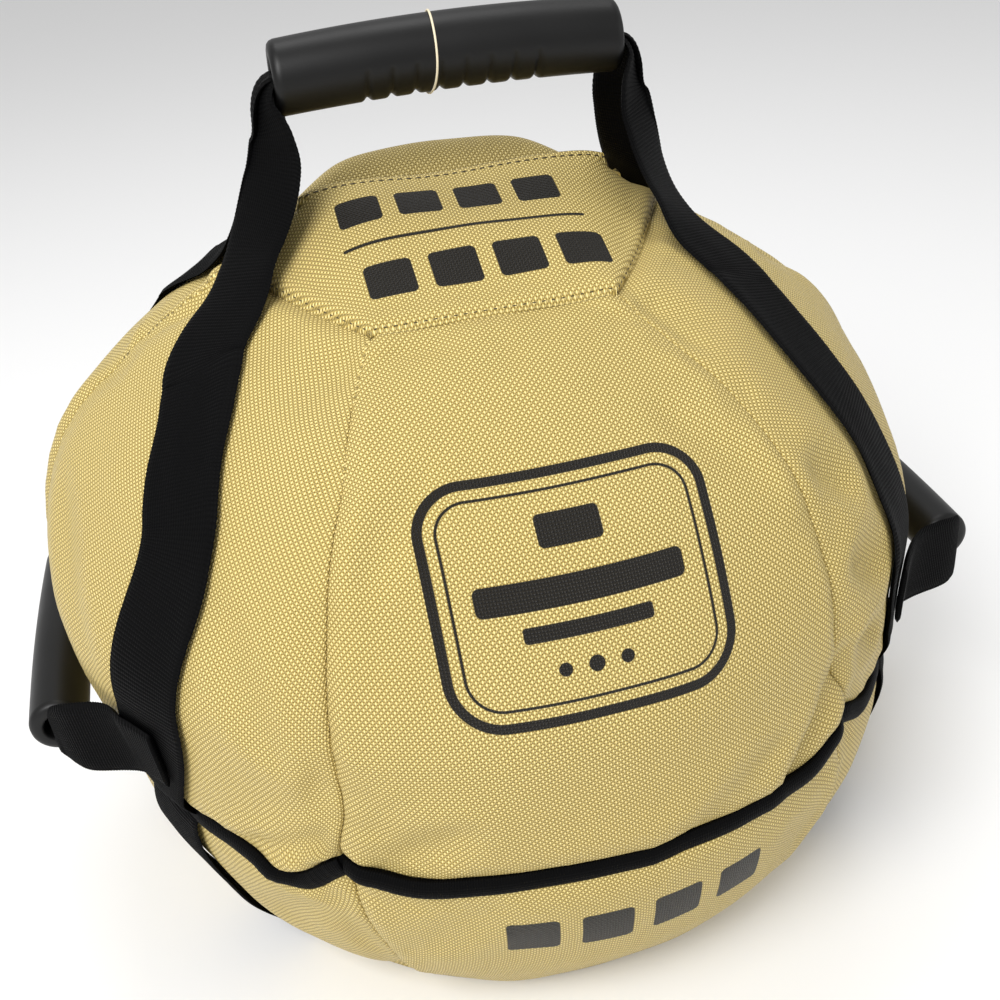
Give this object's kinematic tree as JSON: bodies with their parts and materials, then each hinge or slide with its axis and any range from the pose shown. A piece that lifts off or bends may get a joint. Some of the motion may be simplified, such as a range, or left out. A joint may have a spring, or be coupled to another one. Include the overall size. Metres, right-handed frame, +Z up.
{
  "type": "training sandbag",
  "caption": "Round six-sided training sandbag with a flat base, a black waist band, webbing straps and rubber grips on top and at both sides.",
  "frame": {"origin": "middle of the base, on the surface it stands on", "axes": "+Z up, front panel faces -Y, the side grips are at -X and +X"},
  "size_m": [0.392, 0.354, 0.3558],
  "materials": {
    "canvas": "coarse woven golden tan canvas",
    "webbing": "black ribbed polyester webbing",
    "band_tape": "black flat tape",
    "grip_rubber": "satin moulded black rubber",
    "thread": "light thread",
    "zip_tape": "black woven zip tape",
    "zip_teeth": "moulded black teeth",
    "zip_metal": "black lacquered metal",
    "filler_cloth": "plain grey liner cloth",
    "hook_and_loop": "black hook and loop tape",
    "sand": "dry sand"
  },
  "bodies": {
    "bag": {"back_left_panel": "canvas", "back_left_strap": "webbing", "back_panel": "canvas", "back_right_panel": "canvas", "back_right_strap": "webbing", "bottom_panel": "canvas", "filler_bag": "filler_cloth", "filler_bag_flap": "filler_cloth", "front_left_panel": "canvas", "front_left_strap": "webbing", "front_panel": "canvas", "front_right_panel": "canvas", "front_right_strap": "webbing", "hook_strip": "hook_and_loop", "left_anchor_patches": "webbing", "loop_strip": "hook_and_loop", "lower_back_left_panel": "canvas", "lower_back_panel": "canvas", "lower_back_right_panel": "canvas", "lower_front_left_panel": "canvas", "lower_front_panel": "canvas", "lower_front_right_panel": "canvas", "right_anchor_patches": "webbing", "sand_fill": "sand", "top_back_panel": "canvas", "top_front_panel": "canvas", "waist_band": "band_tape", "zip_stops": "zip_teeth", "zip_tape_back": "zip_tape", "zip_tape_front": "zip_tape", "zip_teeth_back": "zip_teeth", "zip_teeth_front": "zip_teeth"},
    "top_handle": {"top_grip": "grip_rubber", "top_grip_webbing": "webbing", "grip_thread": "thread"},
    "left_handle": {"left_grip": "grip_rubber", "left_grip_webbing": "webbing"},
    "right_handle": {"right_grip": "grip_rubber", "right_grip_webbing": "webbing"},
    "slider": {"zip_slider": "zip_metal"},
    "pull_tab": {"zip_pull_tab": "zip_metal"}
  },
  "joints": [
    {"name": "top_handle_swing", "type": "hinge", "parent": "bag", "child": "top_handle", "pos_m": [0, 0, 0.31], "axis": [1, 0, 0], "range_deg": [-75, 75]},
    {"name": "left_handle_swing", "type": "hinge", "parent": "bag", "child": "left_handle", "pos_m": [-0.163, 0, 0.144], "axis": [0, 1, 0], "range_deg": [-10, 35]},
    {"name": "right_handle_swing", "type": "hinge", "parent": "bag", "child": "right_handle", "pos_m": [0.163, 0, 0.144], "axis": [0, -1, 0], "range_deg": [-10, 35]},
    {"name": "zip_slide", "type": "slide", "parent": "bag", "child": "slider", "axis": [1, 0, 0], "range_m": [0, 0.088]},
    {"name": "pull_tab_flip", "type": "hinge", "parent": "slider", "child": "pull_tab", "pos_m": [-0.038, 0.009, 0.29055], "axis": [0, -1, 0], "range_deg": [0, 165]}
  ]
}
